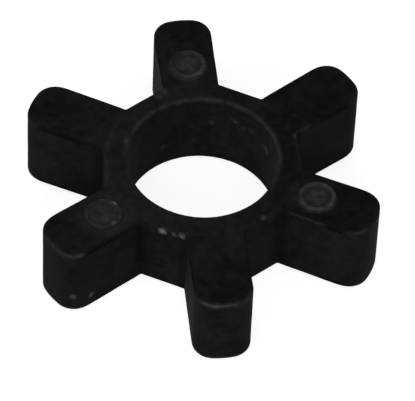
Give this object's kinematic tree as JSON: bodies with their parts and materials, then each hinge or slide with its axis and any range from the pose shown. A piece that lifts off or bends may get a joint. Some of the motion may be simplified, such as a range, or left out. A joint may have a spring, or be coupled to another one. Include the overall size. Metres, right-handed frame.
{
  "type": "jaw coupling spider",
  "caption": "One-piece moulded rubber spider: radial legs round an open centre fill the gaps between the jaws of two shaft hubs and pass torque in compression.",
  "frame": {"origin": "middle of the centre hole, at half the thickness", "axes": "+Z along the shafts' common axis, +Y along the first leg, which has a dot on its +Z face"},
  "size_m": [0.0478, 0.053, 0.0132],
  "materials": {
    "black_rubber": "matte"
  },
  "bodies": {
    "root": {"spider": "black_rubber"}
  },
  "joints": []
}
